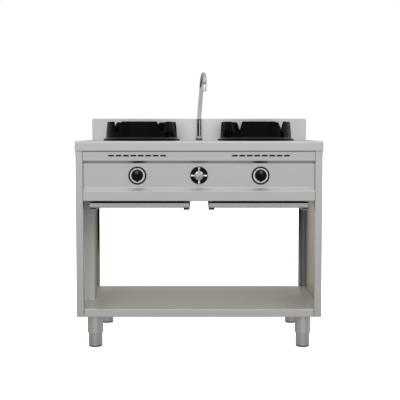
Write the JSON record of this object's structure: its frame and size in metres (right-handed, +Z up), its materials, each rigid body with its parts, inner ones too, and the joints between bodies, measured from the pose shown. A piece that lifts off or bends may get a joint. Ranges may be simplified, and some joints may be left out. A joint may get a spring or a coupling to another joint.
{
  "type": "wok range",
  "caption": "Free-standing two-burner gas wok range on an open stand, with wok rings, a swivel water tap, a splashback, drip trays and a lower shelf.",
  "frame": {"origin": "centre of the bottom of the bounding box, on the floor between the four feet", "axes": "+Z up, the control panel faces -Y, +X to the right as seen from the front"},
  "size_m": [1, 0.608, 1.1513],
  "materials": {
    "brushed_stainless": "fine brushed stainless sheet",
    "inner_stainless": "plain mill-finish sheet inside the body",
    "cast_iron": "black matt cast iron",
    "brass": "turned brass",
    "copper": "drawn copper tube",
    "zinc_plated_steel": "zinc-plated steel",
    "aluminium_tube": "drawn aluminium tube",
    "black_plastic": "black heat-resistant moulding",
    "chrome": "polished chrome plate"
  },
  "bodies": {
    "stand": {"worktop": "brushed_stainless", "backsplash": "brushed_stainless", "left_side_panel": "brushed_stainless", "right_side_panel": "brushed_stainless", "control_fascia": "brushed_stainless", "rear_panel": "brushed_stainless", "lower_shelf": "brushed_stainless", "service_duct": "brushed_stainless", "front_left_leg": "brushed_stainless", "front_right_leg": "brushed_stainless", "rear_left_leg": "brushed_stainless", "rear_right_leg": "brushed_stainless", "front_burner_rail": "inner_stainless", "rear_burner_rail": "inner_stainless", "left_burner_bowl": "inner_stainless", "right_burner_bowl": "inner_stainless", "left_tray_inner_runner": "inner_stainless", "left_tray_outer_runner": "inner_stainless", "right_tray_inner_runner": "inner_stainless", "right_tray_outer_runner": "inner_stainless", "left_burner": "cast_iron", "right_burner": "cast_iron", "left_injector": "brass", "right_injector": "brass", "left_gas_valve": "brass", "right_gas_valve": "brass", "left_pilot_burner": "brass", "right_pilot_burner": "brass", "water_valve": "brass", "tap_lock_nut": "brass", "left_thermocouple": "copper", "right_thermocouple": "copper", "water_inlet_pipe": "copper", "water_riser_pipe": "copper", "gas_inlet_pipe": "zinc_plated_steel", "gas_manifold": "zinc_plated_steel", "left_gas_feed_pipe": "aluminium_tube", "right_gas_feed_pipe": "aluminium_tube", "left_knob_dial": "black_plastic", "right_knob_dial": "black_plastic", "water_handle_plate": "black_plastic", "tap_column": "chrome"},
    "left_ring": {"left_wok_ring": "cast_iron"},
    "right_ring": {"right_wok_ring": "cast_iron"},
    "left_cap": {"left_burner_cap": "brass"},
    "right_cap": {"right_burner_cap": "brass"},
    "left_spindle": {"left_valve_spindle": "zinc_plated_steel"},
    "right_spindle": {"right_valve_spindle": "zinc_plated_steel"},
    "left_knob": {"left_knob": "black_plastic"},
    "right_knob": {"right_knob": "black_plastic"},
    "water_cross_handle": {"water_handle": "chrome", "water_valve_spindle": "brass"},
    "spout": {"tap_spout": "chrome", "tap_nozzle": "chrome"},
    "left_tray": {"left_drip_tray": "brushed_stainless"},
    "right_tray": {"right_drip_tray": "brushed_stainless"},
    "front_left_foot": {"front_left_foot": "brushed_stainless"},
    "front_right_foot": {"front_right_foot": "brushed_stainless"},
    "rear_left_foot": {"rear_left_foot": "brushed_stainless"},
    "rear_right_foot": {"rear_right_foot": "brushed_stainless"}
  },
  "joints": [
    {"name": "left_ring_lift", "type": "slide", "parent": "stand", "child": "left_ring", "axis": [0, 0, 1], "range_m": [0, 0.15]},
    {"name": "left_cap_lift", "type": "slide", "parent": "stand", "child": "left_cap", "axis": [0, 0, 1], "range_m": [0, 0.1]},
    {"name": "left_knob_turn", "type": "hinge", "parent": "stand", "child": "left_spindle", "pos_m": [-0.25, -0.266, 0.71], "axis": [0, -1, 0], "range_deg": [0, 225]},
    {"name": "left_knob_push", "type": "slide", "parent": "left_spindle", "child": "left_knob", "axis": [0, 1, 0], "range_m": [0, 0.004], "stiffness_N_per_m": 800, "springref_m": -0.004},
    {"name": "left_tray_slide", "type": "slide", "parent": "stand", "child": "left_tray", "axis": [0, -1, 0], "range_m": [0, 0.45]},
    {"name": "right_ring_lift", "type": "slide", "parent": "stand", "child": "right_ring", "axis": [0, 0, 1], "range_m": [0, 0.15]},
    {"name": "right_cap_lift", "type": "slide", "parent": "stand", "child": "right_cap", "axis": [0, 0, 1], "range_m": [0, 0.1]},
    {"name": "right_knob_turn", "type": "hinge", "parent": "stand", "child": "right_spindle", "pos_m": [0.25, -0.266, 0.71], "axis": [0, -1, 0], "range_deg": [0, 225]},
    {"name": "right_knob_push", "type": "slide", "parent": "right_spindle", "child": "right_knob", "axis": [0, 1, 0], "range_m": [0, 0.004], "stiffness_N_per_m": 800, "springref_m": -0.004},
    {"name": "right_tray_slide", "type": "slide", "parent": "stand", "child": "right_tray", "axis": [0, -1, 0], "range_m": [0, 0.45]},
    {"name": "water_handle_turn", "type": "hinge", "parent": "stand", "child": "water_cross_handle", "pos_m": [0, -0.266, 0.711], "axis": [0, -1, 0], "range_deg": [0, 180]},
    {"name": "spout_swivel", "type": "hinge", "parent": "stand", "child": "spout", "pos_m": [0, 0.234, 0.945], "axis": [0, 0, 1], "range_deg": [-98, 82]},
    {"name": "front_left_foot_height", "type": "slide", "parent": "stand", "child": "front_left_foot", "axis": [0, 0, 1], "range_m": [-0.025, 0.04]},
    {"name": "front_right_foot_height", "type": "slide", "parent": "stand", "child": "front_right_foot", "axis": [0, 0, 1], "range_m": [-0.025, 0.04]},
    {"name": "rear_left_foot_height", "type": "slide", "parent": "stand", "child": "rear_left_foot", "axis": [0, 0, 1], "range_m": [-0.025, 0.04]},
    {"name": "rear_right_foot_height", "type": "slide", "parent": "stand", "child": "rear_right_foot", "axis": [0, 0, 1], "range_m": [-0.025, 0.04]}
  ]
}
